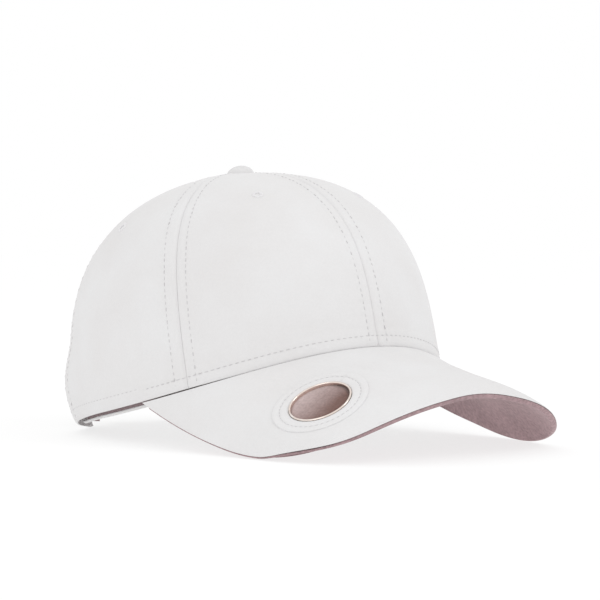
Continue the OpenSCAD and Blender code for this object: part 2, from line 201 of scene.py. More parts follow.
def soft_waves(p, t):
    """How far the cloth stands out at points p, in mm."""
    depth = sum(a * np.sin(p @ k + phase) for k, phase, a in WAVES)
    stiff = mix(0.3, 1.0, ease((np.abs(t) - 50) / 40))  # the front panels are backed with buckram
    return depth * stiff


def side_fold(t, height):
    """Soft upright furrows where the limp side panels meet the stiff front ones, and a hollow above."""
    beyond = (np.abs(t) - SIDE_SEAM) * 1.5
    rise = ease((height - 6) / 20) * (1 - ease((height - 42) / 30))
    furrow = (-0.6 * bell(beyond - 11.5, 4.0) + 0.25 * bell(beyond - 19, 4.5)) * rise
    hollow = -1.3 * bell((np.abs(t) - SIDE_SEAM - 9) / 9, 1.0) * bell(height - 112, 20)
    return furrow + hollow


def row_gap(t):
    """How far from a seam its row of stitches runs."""
    beside = (np.abs(t) > SIDE_SEAM) & (np.abs(t) < SIDE_SEAM + 30)
    return np.where(beside, SIDE_ROW, TOPSTITCH)


def hem_groove(t):
    """Height of the row of stitches over the hem: lower on the front, where the visor is sewn on."""
    return mix(VISOR_STITCH, HEM_STITCH, ease((np.abs(t) - CORNER_A + 1.5) / 1.5))


def relief(p, t, near, width, height):
    """How far the cloth stands above the plain crown, in mm; near is the way to the nearest seam."""
    gap = row_gap(t)
    wide = ease((width - 11) / 16)
    valley = -0.5 * bell(near, 0.7)
    allowance = 0.28 * ease((near - 0.5) / 1.0) * (1 - ease((near - gap - 0.4) / 1.8)) * wide
    groove = -0.22 * bell(near - gap, 0.5) * wide
    pucker = 0.11 * np.sin(height * 0.95 + 3 * np.sin(t * 0.21)) * bell(near - gap, 4.0) * wide
    row = height - hem_groove(t)
    hem = 0.3 * (1 - ease((row - 1) / 2)) - 0.26 * bell(row, 0.6)
    hem_pucker = 0.08 * np.sin(t * 1.9 + 2 * np.sin(t * 0.4)) * bell(row, 3.0)
    hem_roll = -0.5 * (1 - ease(height / 1.2))
    waves = (soft_waves(p, t) + side_fold(t, height)) * ease(height / 12)
    return valley + allowance + groove + pucker + hem + hem_pucker + hem_roll + waves


# ---- Meshes ----


def add(name, data):
    """An object in the scene."""
    obj = bpy.data.objects.new(name, data)
    bpy.context.scene.collection.objects.link(obj)
    return obj


def link(name, verts, faces, uv=None, smooth_angle=50):
    """A mesh object from points in mm in the crown's frame; uv is in mm of cloth."""
    mesh = bpy.data.meshes.new(name)
    mesh.from_pydata(place(np.asarray(verts)).tolist(), [], [list(map(int, f)) for f in faces])
    if uv is not None:
        layer = mesh.uv_layers.new(name="cloth")
        index = np.zeros(len(mesh.loops), int)
        mesh.loops.foreach_get("vertex_index", index)
        layer.data.foreach_set("uv", np.asarray(uv, float)[index].ravel())
    mesh.update()
    mesh.shade_smooth()
    mesh.set_sharp_from_angle(angle=math.radians(smooth_angle))
    return add(name, mesh)


def shell(name, outer, inner, uv=None, keep=None):
    """A closed solid between two matching grids of points; keep says which of their cells stay."""
    n, m = outer.shape[:2]
    index = np.arange(n * m).reshape(n, m)
    keep = np.ones((n - 1, m - 1), bool) if keep is None else keep
    a, b, c, d = index[:-1, :-1], index[:-1, 1:], index[1:, 1:], index[1:, :-1]
    faces = [np.stack([a, d, c, b], -1)[keep], np.stack([a, b, c, d], -1)[keep] + n * m]
    sides = ((-1, 0, a, b), (1, 0, c, d), (0, -1, d, a), (0, 1, b, c))
    for dj, di, p, q in sides:
        beside = np.roll(keep, (-dj, -di), (0, 1))
        if di:
            beside[:, -1 if di > 0 else 0] = False
        else:
            beside[-1 if dj > 0 else 0] = False
        edge = keep & ~beside
        faces.append(np.stack([p, q, q + n * m, p + n * m], -1)[edge])
    faces = np.concatenate(faces)
    verts = np.concatenate([outer.reshape(-1, 3), inner.reshape(-1, 3)])
    used = np.unique(faces)
    renumber = np.full(len(verts), -1)
    renumber[used] = np.arange(len(used))
    if uv is not None:
        uv = np.concatenate([uv.reshape(-1, 2)] * 2)[used]
    return link(name, verts[used], renumber[faces], uv)


def ring_faces(n, m, closed):
    """Faces between n outlines of m points each; closed joins the last outline to the first."""
    j, i = np.meshgrid(np.arange(n if closed else n - 1), np.arange(m), indexing="ij")
    k, nj = (i + 1) % m, (j + 1) % n
    return np.stack([j * m + i, j * m + k, nj * m + k, nj * m + i], -1).reshape(-1, 4)


def sweep(points, outline, side, up):
    """An outline's copies along a line of points, its first measure along side and its second along up."""
    q, h = np.asarray(outline, float).T
    return points[:, None] + q[None, :, None] * side[:, None] + h[None, :, None] * up[:, None]


def strip_uv(along, outline):
    """Cloth coordinates of a swept outline, from the lengths along its path."""
    return pair_grid(along[:, None], outline_length(outline)[None])


def tube(name, rings, uv=None, closed=False):
    """A solid from closed outlines one after another, capped at its ends or joined into a loop."""
    n, m = rings.shape[:2]
    faces = ring_faces(n, m, closed).tolist()
    if not closed:
        faces += [list(range(m))[::-1], [(n - 1) * m + q for q in range(m)]]
    return link(name, rings.reshape(-1, 3), faces, None if uv is None else uv.reshape(-1, 2))


def lathe(name, profile, centre, axes, steps=128):
    """A turned solid: profile is a closed outline of (radius, height) about the third axis."""
    turn = np.linspace(0, 2 * np.pi, steps, endpoint=False)
    u, v, w = axes
    rings = sweep(np.tile(centre, (steps, 1)), profile, round_about(turn, u, v), np.tile(w, (steps, 1)))
    return tube(name, rings, strip_uv(turn * 18, profile), closed=True)


STITCH_SIDES = 6
# Along a stitch: share of its length, share of its radius, height above the cloth in mm
STITCH_SHAPE = (
    (0.0, 0.3, -0.26),
    (0.14, 0.85, -0.04),
    (0.5, 1.0, 0.08),
    (0.86, 0.85, -0.04),
    (1.0, 0.3, -0.26),
)


def stitch_faces(base):
    """Faces of the stitch whose first vertex is number base: its sides, then its two ends."""
    last = base + (len(STITCH_SHAPE) - 1) * STITCH_SIDES
    faces = []
    for row in range(base, last, STITCH_SIDES):
        for i in range(STITCH_SIDES):
            k = (i + 1) % STITCH_SIDES
            faces.append((row + i, row + k, row + k + STITCH_SIDES, row + i + STITCH_SIDES))
    faces.append(tuple(base + i for i in reversed(range(STITCH_SIDES))))
    faces.append(tuple(last + i for i in range(STITCH_SIDES)))
    return faces


def stitches(name, lines, pitch=3.1, length=2.35, radius=0.25):
    """Lock stitches along lines of (points, normals), each a short thread that dips into the cloth."""
    verts, faces = [], []
    turn = np.arange(STITCH_SIDES) * 2 * np.pi / STITCH_SIDES
    share, thick, rise = np.array(STITCH_SHAPE).T
    for points, normals in lines:
        s = walk(points)
        for start in np.arange(0.4, s[-1] - length, pitch):
            at = start + share * length
            p, n = (np.stack([np.interp(at, s, c) for c in line.T], -1) for line in (points, normals))
            n = unit(n)
            p = p + n * rise[:, None]
            side = unit(np.cross(unit(np.gradient(p, axis=0)), n))
            ring = p[:, None] + radius * thick[:, None, None] * round_about(turn, side[:, None], n[:, None])
            faces += stitch_faces(len(verts) * len(at) * STITCH_SIDES)
            verts.append(ring.reshape(-1, 3))
    return link(name, np.concatenate(verts), faces, smooth_angle=80)


# ---- Materials ----


class Look:
    """A node material under construction: a Principled surface and short helpers."""

    def __init__(self, name, roughness=0.85, metallic=0.0):
        self.material = bpy.data.materials.new(name)
        self.material.use_nodes = True
        self.tree = self.material.node_tree
        self.surface = self.tree.nodes["Principled BSDF"]
        self.fix(Roughness=roughness, Metallic=metallic)

    def fix(self, **values):
        """Sets plain values of the surface, with _ for each space in an input's name."""
        for key, value in values.items():
            self.surface.inputs[key.replace("_", " ")].default_value = value

    def node(self, kind, **inputs):
        made = self.tree.nodes.new("ShaderNode" + kind)
        for key, value in inputs.items():
            self.feed(made.inputs[key], value)
        return made

    def feed(self, socket, value):
        if isinstance(value, bpy.types.NodeSocket):
            self.tree.links.new(value, socket)
        else:
            socket.default_value = value

    def maths(self, operation, a, b=0.0, kind="Math", out=0):
        made = self.node(kind)
        made.operation = operation
        self.feed(made.inputs[0], a)
        self.feed(made.inputs[1], b)
        return made.outputs[out]

    def total(self, *parts):
        """The sum of (value, weight) pairs."""
        scaled = [self.maths("MULTIPLY", value, weight) for value, weight in parts]
        made = scaled[0]
        for part in scaled[1:]:
            made = self.maths("ADD", made, part)
        return made

    def noise(self, scale, detail=3.0):
        return self.node("TexNoise", Scale=scale, Detail=detail, Vector=self.place()).outputs["Fac"]

    def place(self):
        """Object coordinates in metres."""
        return self.node("TexCoord").outputs["Object"]

    def cloth_uv(self):
        """The two mm coordinates along the cloth."""
        made = self.node("UVMap")
        made.uv_map = "cloth"
        return self.node("SeparateXYZ", Vector=made.outputs[0]).outputs[:2]

    def ramp(self, fac, low, high, a, b):
        """Maps fac from low..high to a..b."""
        made = self.node("MapRange")
        for socket, value in zip(made.inputs[:5], (fac, low, high, a, b)):
            self.feed(socket, value)
        return made.outputs[0]

    def blend(self, fac, a, b, kind="MIX"):
        made = self.node("Mix")
        made.data_type, made.blend_type = "RGBA", kind
        for socket, value in ((0, fac), (6, a), (7, b)):
            self.feed(made.inputs[socket], value)
        return made.outputs[2]

    def colour(self, value):
        self.feed(self.surface.inputs["Base Color"], value)

    def bump(self, height, distance, strength, below=None):
        """A bump normal; below is the normal of a coarser bump under it."""
        made = self.node("Bump", Strength=strength, Distance=distance, Height=height)
        if below is not None:
            self.feed(made.inputs["Normal"], below)
        return made.outputs["Normal"]

    def finish(self, normal=None):
        if normal is not None:
            self.feed(self.surface.inputs["Normal"], normal)
        return self.material


def rgba(colour, gain=1.0):
    return tuple(min(1.0, c * gain) for c in colour) + (1.0,)


WHITE = (0.748, 0.744, 0.747)
MAUVE = (0.36, 0.245, 0.258)


def twill(name, colour, wale=0.75, depth=0.05, fuzz=0.15, shade=0.06, steep=1.0):
    """Twill: fine diagonal ribs wale mm apart, broken by crossing threads, with slubs and a faint nap."""
    look = Look(name, roughness=0.9)
    u, v = look.cloth_uv()
    line = look.total((u, steep), (v, 1.0), (look.noise(240, 2), 0.8))
    rib = look.maths("SINE", look.maths("MULTIPLY", line, 2 * math.pi / wale))
    thwart = look.maths("MULTIPLY", look.maths("SUBTRACT", v, u), 2 * math.pi / (wale * 0.6))
    weave = look.total((rib, 0.36), (look.maths("SINE", thwart), 0.14))
    weave = look.maths("ADD", weave, 0.5)
    slub, patch = look.noise(900, 4), look.noise(28, 3)
    tone = look.ramp(look.total((weave, 0.5), (slub, 0.5)), 0.2, 0.8, 0, 1)
    base = look.blend(tone, rgba(colour, 1 - shade), rgba(colour, 1 + shade * 0.4))
    warm = look.blend(look.ramp(patch, 0.35, 0.7, 0, 1), rgba((1, 1, 1)), rgba((0.965, 0.955, 0.95)))
    look.colour(look.blend(1.0, base, warm, "MULTIPLY"))
    look.fix(Sheen_Weight=fuzz, Sheen_Roughness=0.5, Specular_IOR_Level=0.25)
    look.feed(look.surface.inputs["Roughness"], look.ramp(slub, 0.3, 0.7, 0.82, 0.97))
    under = look.bump(look.noise(420, 4), 0.00012, 0.5)
    return look.finish(look.bump(weave, depth / 1000, 0.9, below=under))


def napped(name, colour, grain=650, spread=0.22):
    """Brushed cloth: an uneven short nap with fine specks and a soft sheen."""
    look = Look(name, roughness=0.95)
    fine, broad = look.noise(grain, 5), look.noise(45, 3)
    tone = look.ramp(look.total((fine, 0.7), (broad, 0.3)), 0.36, 0.64, 0, 1)
    look.colour(look.blend(tone, rgba(colour, 1 - spread), rgba(colour, 1 + spread)))
    look.fix(Sheen_Weight=0.35, Sheen_Roughness=0.4, Sheen_Tint=rgba((0.9, 0.8, 0.8)))
    return look.finish(look.bump(fine, 0.00035, 0.8, below=look.bump(broad, 0.0006, 0.5)))


def disc_painted_shade_look():
    """The recess's napped cloth plate: painted light and shade make it paler on the side towards the crown
    and darker towards the front, over random patches of tone, and a painted shadow darkens its front rim.
    """
    look = Look("recess_nap_painted_shade", roughness=0.9)
    centre = place(RING_C)
    offset = look.maths("SUBTRACT", look.place(), tuple(centre), "VectorMath")
    sides = []
    for direction in (RING_U, RING_V):
        axis = place(RING_C + direction) - centre
        dot = look.maths("DOT_PRODUCT", offset, tuple(axis * 1000), "VectorMath", "Value")
        sides.append(look.maths("MULTIPLY", dot, 1000.0))
    across, away = sides
    fine, patch = look.noise(900, 5), look.noise(130, 4)
    uneven = look.maths("SUBTRACT", patch, 0.5)
    # painted light and shade: paler towards the crown, darker towards the front, mixed with random patches of
    # tone
    pale = look.ramp(look.total((away, 0.052), (across, 0.004), (uneven, 0.45)), -0.45, 0.85, 0, 1)
    base = look.blend(pale, rgba((0.165, 0.08, 0.063)), rgba((0.64, 0.51, 0.50)))
    speck = look.blend(look.ramp(fine, 0.35, 0.65, 0, 1), rgba((0.8, 0.8, 0.8)), rgba((1, 1, 1)))
    nap = look.blend(1.0, base, speck, "MULTIPLY")
    # painted shadow: a dark band inside the rim on the plate's front side, where the ring shades it
    squares = [look.maths("POWER", look.maths("ABSOLUTE", side), 2.0) for side in sides]
    rim = look.ramp(look.maths("SQRT", look.maths("ADD", *squares)), 12.2, 13.9, 0, 0.85)
    forward = look.maths("SUBTRACT", look.maths("MULTIPLY", across, 0.6), away)
    painted_rim_shadow = look.maths("MULTIPLY", rim, look.ramp(forward, 2.0, 9.0, 0, 1))
    look.colour(look.blend(painted_rim_shadow, nap, rgba((0.07, 0.045, 0.04))))
    look.fix(Sheen_Weight=0.2)
    return look.finish(look.bump(fine, 0.0002, 0.7, below=look.bump(patch, 0.0004, 0.4)))


def thread(name, colour):
    """Twisted sewing thread."""
    look = Look(name, roughness=0.6)
    strands = look.noise(2600, 3)
    look.colour(look.blend(look.ramp(strands, 0.3, 0.7, 0, 1), rgba(colour, 0.82), rgba(colour, 1.05)))
    look.fix(Sheen_Weight=0.3)
    return look.finish(look.bump(strands, 0.0001, 0.7))


def net(name, colour, pitch=1.3):
    """Buckram: stiffened open net."""
    look = Look(name, roughness=0.75)
    u, v = look.cloth_uv()
    bars = [look.maths("SINE", look.maths("MULTIPLY", c, 2 * math.pi / pitch)) for c in (u, v)]
    grid = look.maths("MAXIMUM", *bars)
    tone = look.ramp(grid, -0.1, 0.7, 0, 1)
    look.colour(look.blend(tone, rgba(colour, 0.62), rgba(colour)))
    return look.finish(look.bump(grid, 0.0002, 0.9, below=look.bump(look.noise(700), 0.0001, 0.5)))


def metal(name, colour, worn, roughness=0.25, scratch=0.05, wear=0.5, patches=160):
    """Plated metal with fine scratches, dull patches and brighter worn spots."""
    look = Look(name, roughness=roughness, metallic=1.0)
    patch, fine = look.noise(patches, 5), look.noise(2400, 4)
    look.colour(look.blend(look.ramp(patch, wear, wear + 0.18, 0, 1), rgba(colour), rgba(worn)))
    dull = look.ramp(fine, 0.3, 0.7, roughness - scratch, roughness + scratch * 2)
    look.feed(look.surface.inputs["Roughness"], dull)
    return look.finish(look.bump(fine, 0.00003, 0.4, below=look.bump(patch, 0.00008, 0.3)))


def board_look(name, colour):
    """Plain moulded plastic, slightly mottled."""
    look = Look(name, roughness=0.5)
    look.colour(look.blend(look.ramp(look.noise(300, 4), 0.4, 0.6, 0, 1), rgba(colour, 0.92), rgba(colour)))
    return look.finish(look.bump(look.noise(900, 3), 0.00008, 0.5))


LOOKS = {
    "cap_cloth": twill("white_twill", WHITE),
    "strap_cloth": twill("strap_twill", WHITE, wale=0.9, depth=0.07),
    "seam_tape": twill("tape_twill", (0.76, 0.75, 0.75), wale=1.1, depth=0.08, shade=0.1, steep=0.3),
    "label_cloth": twill("label_satin", (0.85, 0.85, 0.83), wale=0.5, depth=0.03, fuzz=0.3, steep=0.05),
    "buckram": net("buckram_net", (0.8, 0.79, 0.77)),
    "sweatband_cloth": napped("sweatband_nap", (0.36, 0.27, 0.28), grain=800, spread=0.16),
    "under_visor_cloth": napped("under_visor_nap", MAUVE),
    "visor_board": board_look("board", (0.75, 0.75, 0.72)),
    "polished_ring": metal(
        "polished_ring", (0.82, 0.72, 0.66), (0.9, 0.84, 0.8), roughness=0.1, scratch=0.02, wear=0.55
    ),
    "button_metal": metal("plain_steel", (0.55, 0.54, 0.52), (0.68, 0.67, 0.65), roughness=0.3),
    "eyelet_thread": thread("eyelet_thread", (0.8, 0.79, 0.8)),
    "buckle_metal": metal(
        "antique_brass", (0.2, 0.165, 0.1), (0.33, 0.275, 0.165), roughness=0.34, scratch=0.06, patches=700
    ),
}
STITCH_LOOK = thread("stitch_thread", (0.61, 0.60, 0.605))


def dress(obj, slot, *stands_for, body="cap", look=None):
    """Gives a finished piece its look, chosen by its slot unless a look is passed, puts it under its body,
    and hides the CAD nodes that it stands for.
    """
    obj.data.materials.clear()
    obj.data.materials.append(look or LOOKS[slot])
    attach(obj, body)
    if stands_for:
        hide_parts(*stands_for)


def sew(name, rows, slot="cap_cloth", body="cap", look=STITCH_LOOK, **shape):
    """Rows of stitches as a piece of their own."""
    dress(stitches(name, rows, **shape), slot, body=body, look=look)


# ---- Crown panels ----


def near_edges(start, end, count):
    """Angles across a panel, closer together beside its seams."""
    k = np.linspace(-1, 1, count)
    s = np.sign(k) * np.abs(k) ** 0.75
    return mix(start, end, (s + 1) / 2)


def hole_push(far, hole, reach, core):
    """How much opening a round hole stretches the way to its centre, and which grid cells stay."""
    grown = hole + (reach - hole) * (np.clip(far, 1e-6, None) / reach) ** 1.6
    push = np.where(far < reach, grown / np.maximum(far, 1e-6), 1.0)
    inside = far < core
    dropped = inside[:-1, :-1] | inside[1:, :-1] | inside[:-1, 1:] | inside[1:, 1:]
    return push, ~dropped


def open_eyelet(t, v, centre_t, hole, reach):
    """Pushes grid points away from an eyelet's centre to leave a round hole; also says which cells stay."""
    c = crown_point(centre_t, EYELET_V)
    n = crown_normal(centre_t, EYELET_V)
    dt = crown_point(centre_t + 0.5, EYELET_V) - crown_point(centre_t - 0.5, EYELET_V)
    dv = (crown_point(centre_t, EYELET_V + 0.005) - crown_point(centre_t, EYELET_V - 0.005)) / 0.01
    p = crown_point(t, v) - c
    flat = p - (p @ n)[..., None] * n
    push, keep = hole_push(np.linalg.norm(flat, axis=-1), hole, reach, 0.9)
    basis = np.stack([dt, dv, n], -1)
    local = np.linalg.solve(basis, (flat * (push - 1)[..., None]).reshape(-1, 3).T).T.reshape(flat.shape)
    return t + local[..., 0], v + local[..., 1], keep


def back_columns(side):
    """The back panels' angles: even beside the seam, then closing on the opening's steep edge."""
    plain = np.linspace(BACK_SEAM + 0.03, 180 - OPENING_A, 34)[:-1]
    round_a = 180 - OPENING_A * np.cos(np.radians(np.linspace(0, 89.9, 44)))
    t = np.concatenate([plain, round_a])
    return t if side > 0 else -t[::-1]


def crown_panel(name, columns, eyelet, rows=104):
    """One panel between two seams, with its folded allowances, stitch grooves, soft waves and eyelet hole."""
    t = np.broadcast_to(columns[:, None], (len(columns), rows)).copy()
    v = row_v(t, np.linspace(0, 1, rows)[None], arch_low(t))
    t, v, keep = open_eyelet(t, v, eyelet, 1.5, 6.0)
    p, n = crown_point(t, v), crown_normal(t, v)
    across, up = steps_along(p, 0), steps_along(p, 1)
    width = across[-1][None]
    near = np.minimum(across, width - across)
    high = relief(p, t, near, width, up + (v[:, :1] > 0.02) * NO_HEM)
    outer = p + n * high[..., None]
    inner = crown_point(t, v, PANEL_T) + n * (high * 0.5)[..., None]
    uv = np.stack([across - width / 2, v * CROWN_H * 1.25], -1)
    dress(shell(name, outer, inner, uv, keep), "cap_cloth", name)


def seam_side(seam, gap, low):
    """A line on the crown at a distance to one side of a seam, lifted onto the cloth: (points, normals)."""
    k = np.linspace(0.012, 0.93, 150)
    v = row_v(np.full_like(k, seam), k, low)
    degree = np.linalg.norm(crown_point(seam + 0.5, v) - crown_point(seam - 0.5, v), axis=-1)
    t = seam + gap / np.maximum(degree, 0.05)
    p, n = crown_point(t, v), crown_normal(t, v)
    height = walk(p) + (NO_HEM if low > 0 else 0)
    high = relief(p, t, np.full_like(k, abs(gap)), degree * SIDE_SEAM, height)
    return p + n * (high + STITCH_LIFT)[:, None], n


def hem_line(a, b, height, count):
    """A line on the crown at an even height above the hem: (points, normals)."""
    t = np.linspace(a, b, count)
    p, n = crown_point(t, height / CROWN_H), crown_normal(t, height / CROWN_H)
    seam_gap = np.min([np.abs(((t - s + 180) % 360) - 180) for s in SEAMS], axis=0) * 1.55
    high = relief(p, t, seam_gap, np.full_like(t, 90.0), np.full_like(t, height))
    return p + n * (high + STITCH_LIFT)[:, None], n


PANELS = (("front", 0, SIDE_SEAM), ("side", SIDE_SEAM, BACK_SEAM), ("back", BACK_SEAM, 180))
for side, word in ((-1, "right"), (1, "left")):
    for part, near, far in PANELS:
        a, b = sorted((side * near, side * far))
        columns = back_columns(side) if part == "back" else near_edges(a + 0.03, b - 0.03, 72)
        crown_panel(f"{part}_panel_{word}", columns, (a + b) / 2)

seam_lines = []
for seam in SEAMS:
    low = ARCH_V + 0.04 if seam == 180 else 0
    outer = SIDE_ROW if abs(seam) == SIDE_SEAM else TOPSTITCH
    gaps = (-outer, TOPSTITCH) if seam < 0 else (-TOPSTITCH, outer)
    seam_lines += [seam_side(seam, gap, low) for gap in gaps]
sew("crown_topstitches", seam_lines)
hem_lines = [
    hem_line(CORNER_A + 0.5, 180 - OPENING_A - 5, HEM_STITCH, 160),
    hem_line(-CORNER_A - 0.5, -180 + OPENING_A + 5, HEM_STITCH, 160),
    hem_line(-CORNER_A + 2, CORNER_A - 2, VISOR_STITCH, 300),
]
sew("hem_stitches", hem_lines)

# ---- Binding of the back opening: one folded strip round the panels' edge ----
# From the opening's edge into it, and out from the crown: the strip's outside, then back along its inside
BINDING_SECTION = [
    (-6.5, 0.25), (-6.3, 0.62), (-4, 0.72), (-1.5, 0.75), (0.3, 0.6), (0.9, -0.1), (0.8, -0.9), (0.1, -1.5),
    (-2, -1.62), (-6.2, -1.55), (-6.5, -1.3), (-6.2, -1.05), (-1.5, -1.05), (-0.25, -0.9), (-0.2, 0.05),
    (-1.5, 0.2),
]


def binding_frames(count):
    """Along the opening's edge: points, the ways out of the crown, and the ways into the opening."""
    a = np.linspace(0, 180, count)
    reach = OPENING_A * cosd(a)
    t, v = 180 - reach, ARCH_V * sind(a)
    p, n = crown_point(t, v), crown_normal(t, v)
    along = unit(np.gradient(p, axis=0))
    into = unit(np.cross(along, n))
    centre = crown_point(180, 0.1)
    into *= np.sign(np.sum(into * (centre - p), -1, keepdims=True))
    return p, n, into


def opening_binding():
    """The folded strip; returns its row of stitches."""
    p, n, into = binding_frames(121)
    p = p + soft_waves(p, np.full(len(p), 180.0))[:, None] * 0.6 * n
    rings, uv = sweep(p, BINDING_SECTION, into, n), strip_uv(walk(p), BINDING_SECTION)
    dress(tube("back_opening_binding", rings, uv), "cap_cloth", "back_opening_binding")
    return p - into * 5.4 + n * 0.75, n


sew("binding_stitches", [opening_binding()])

# ---- Inside the crown ----
BAND_IN, BAND_TUCK = 2.75, 4.8  # from the crown's surface in to the sweatband, and at its tucked back ends
BAND_T, BAND_H, BAND_END = 1.3, 32.0, 180 - OPENING_A - 1.2
BAND_ROWS = (4.5, BAND_H - 3)  # heights of its rows of stitches
PIPING_END, PIPING_IN, PIPING_R, PIPING_SIDES = 126.0, 3.2, (1.3, 0.8), 12
LABEL_A, LABEL_SPAN, LABEL_LOW, LABEL_HIGH = 180 - OPENING_A - 4, 14, 8, 24


def band_point(t, high, depth):
    """A point of the sweatband, depth mm inside its outer face."""
    inset = mix(BAND_IN, BAND_TUCK, ease((np.abs(t) - 104) / 18)) + depth
    flat = crown_point(t, high / CROWN_H, 0, 0)
    return flat - crown_normal(t, np.maximum(high / CROWN_H, 0.01)) * inset[..., None]


def band_foot(t):
    """Height of the sweatband's lower edge: under the hem at front and sides, inside it at the back."""
    return mix(-1.6, 0.6, ease((np.abs(t) - 112) / 16))


def sweatband():
    t = np.linspace(-BAND_END, BAND_END, 260)[:, None]
    share = np.linspace(0, 1, 32)[None]
    t, share = np.broadcast_arrays(t, share)
    high = mix(band_foot(t), BAND_H, share)
    ends = np.sin(share * np.pi) ** 0.4
    quilt = 0.12 * np.sin(t * 1.9 + high * 0.2) + 0.1 * np.sin(t * 0.9 + 2) * ends
    groove = 0.3 * bell(high - BAND_ROWS[0], 0.6) + 0.3 * bell(high - BAND_ROWS[1], 0.6)
    face = band_point(t, high, BAND_T * mix(0.45, 1.0, ends) + quilt - groove)
    back = band_point(t, high, BAND_T * 0.5 * (1 - ends))
    uv = np.stack([steps_along(face, 0), high], -1)
    dress(shell("sweatband", back, face, uv), "sweatband_cloth", "sweatband")
    rows = []
    for level in BAND_ROWS:
        ring = np.linspace(OPENING_A - 177, 177 - OPENING_A, 500)
        p = band_point(ring, np.full_like(ring, level), np.full_like(ring, BAND_T - 0.2))
        rows.append((p, -crown_normal(ring, level / CROWN_H)))
    sew("sweatband_stitches", rows, "sweatband_cloth", look=thread("band_thread", (0.5, 0.42, 0.43)))


def sweatband_piping():
    """The pale rolled edge of the sweatband, which shows as a thin line under the hem."""
    t = np.linspace(-PIPING_END, PIPING_END, 300)
    turn = np.arange(PIPING_SIDES) * 2 * np.pi / PIPING_SIDES
    n = crown_normal(t, 0.01)
    p = crown_point(t, 0.0, 0, 0) - n * PIPING_IN
    taper = 1 - ease((np.abs(t) - 112) / 14) * 0.8
    reach = PIPING_R[0] * taper[:, None] * np.cos(turn)
    level = band_foot(t)[:, None] + 0.15 + PIPING_R[1] * taper[:, None] * np.sin(turn)
    ring = p[:, None] + reach[..., None] * n[:, None] + level[..., None] * UP
    dress(tube("sweatband_piping", ring, pair_grid(walk(p)[:, None], turn[None])), "cap_cloth")


def size_label():
    t = np.linspace(-LABEL_A, -LABEL_A + LABEL_SPAN, 30)[:, None]
    high = np.linspace(LABEL_LOW, LABEL_HIGH, 24)[None]
    t, high = np.broadcast_arrays(t, high)
    wave = 0.12 * np.sin(high * 0.5 + t)
    face = band_point(t, high, BAND_T + 0.75 + wave)
    back = band_point(t, high, BAND_T + 0.4 + wave)
    uv = np.stack([steps_along(face, 0), high], -1)
    dress(shell("blank_size_label", back, face, uv), "label_cloth", "blank_size_label")


def buckram(word, a, b):
    """The stiff net behind one front panel, open behind its eyelet."""
    t = np.linspace(a, b, 44)[:, None]
    t, v = np.broadcast_arrays(t, row_v(t, np.linspace(0.02, 0.95, 60)[None], 0))
    t, v, keep = open_eyelet(t.copy(), v.copy(), (a + b) / 2, 3.4, 8.0)
    p, n = crown_point(t, v), crown_normal(t, v)
    sag = soft_waves(p, t) * 0.5
    outer, inner = p - n * (1.2 - sag)[..., None], p - n * (1.7 - sag)[..., None]
    uv = np.stack([steps_along(p, 0), steps_along(p, 1)], -1)
    dress(shell(f"buckram_{word}", outer, inner, uv, keep), "buckram", f"buckram_{word}")


def seam_tape(name, seam, low):
    """The folded tape over a seam's inside; returns its two rows of stitches."""
    k = np.linspace(0.01, 0.94, 110)
    v = row_v(np.full_like(k, float(seam)), k, low)
    p, n = crown_point(seam, v), crown_normal(seam, v)
    side = unit(crown_point(seam + 0.5, v) - crown_point(seam - 0.5, v))
    across = np.linspace(-1, 1, 13)
    room = np.linalg.norm(crown_point(seam + 6, v) - crown_point(seam - 6, v), axis=-1) / 2
    half = np.minimum(6.0, room)[:, None]
    puff = 0.25 * np.abs(np.sin(across * np.pi))[None] + 0.1 * np.sin(k * 90)[:, None]
    bend = (across[None] * half) ** 2 / 180

    def layer(depth):
        spot = p[:, None] + side[:, None] * (across[None] * half)[..., None]
        return spot - n[:, None] * (depth + bend)[..., None]

    outer, inner = layer(1.75), layer(2.3 + puff)
    uv = pair_grid(across[None] * half, walk(p)[:, None])
    dress(shell(name, inner, outer, uv), "seam_tape", name)
    return [(p - n * 2.5 + side * q * half * 0.78, -n) for q in (-1, 1)]


sweatband()
sweatband_piping()
size_label()
buckram("right", -SIDE_SEAM + 7.5, -7.5)
buckram("left", 7.5, SIDE_SEAM - 7.5)
tape_rows = []
for seam, word in zip(SEAMS, ("front", "front_right", "front_left", "back_right", "back_left", "back")):
    tape_rows += seam_tape(f"seam_tape_{word}", seam, ARCH_V + 0.03 if seam == 180 else 0.02)
sew("tape_stitches", tape_rows, "seam_tape", pitch=3.4)

# ---- Visor surface, ruled from the crown's hem to the outline ----
CORNER_X = HALF_W * math.sin(math.radians(CORNER_A))
CORNER_Y = -FRONT_LEN * math.cos(math.radians(CORNER_A))


def visor_z(x, y):
    """Height of the visor's outline: an arch that falls forward and flattens, with a slight side rise."""
    d = -y - FRONT_LEN
    r = ARCH_R + ARCH_TAPER * d
    line = 0.9 * r
    c = np.minimum(np.abs(x), line)
    sag = r - np.sqrt(r * r - c * c) + np.maximum(np.abs(x) - line, 0) * line / np.sqrt(r * r - line * line)
    rise = EDGE_RISE * ease((np.abs(x) - 15) / 40) * ease((-y - 35) / 50)
    return hem_z(0) - VISOR_DROP * d - sag + rise


def visor_join(x):
    """The line where the visor meets the crown."""
    t = np.degrees(np.arcsin(x / HALF_W))
    return np.stack([x, -FRONT_LEN * cosd(t), hem_z(t)], -1)


def visor_rim(x):
    """The visor's outline, a squared ellipse seen from above."""
    u = np.minimum(1, np.abs(x) / CORNER_X)
    y = CORNER_Y - VISOR_LEN * (1 - u**VISOR_SQUARE) ** (1 / VISOR_SQUARE)
    return np.stack([x, y, visor_z(x, y)], -1)


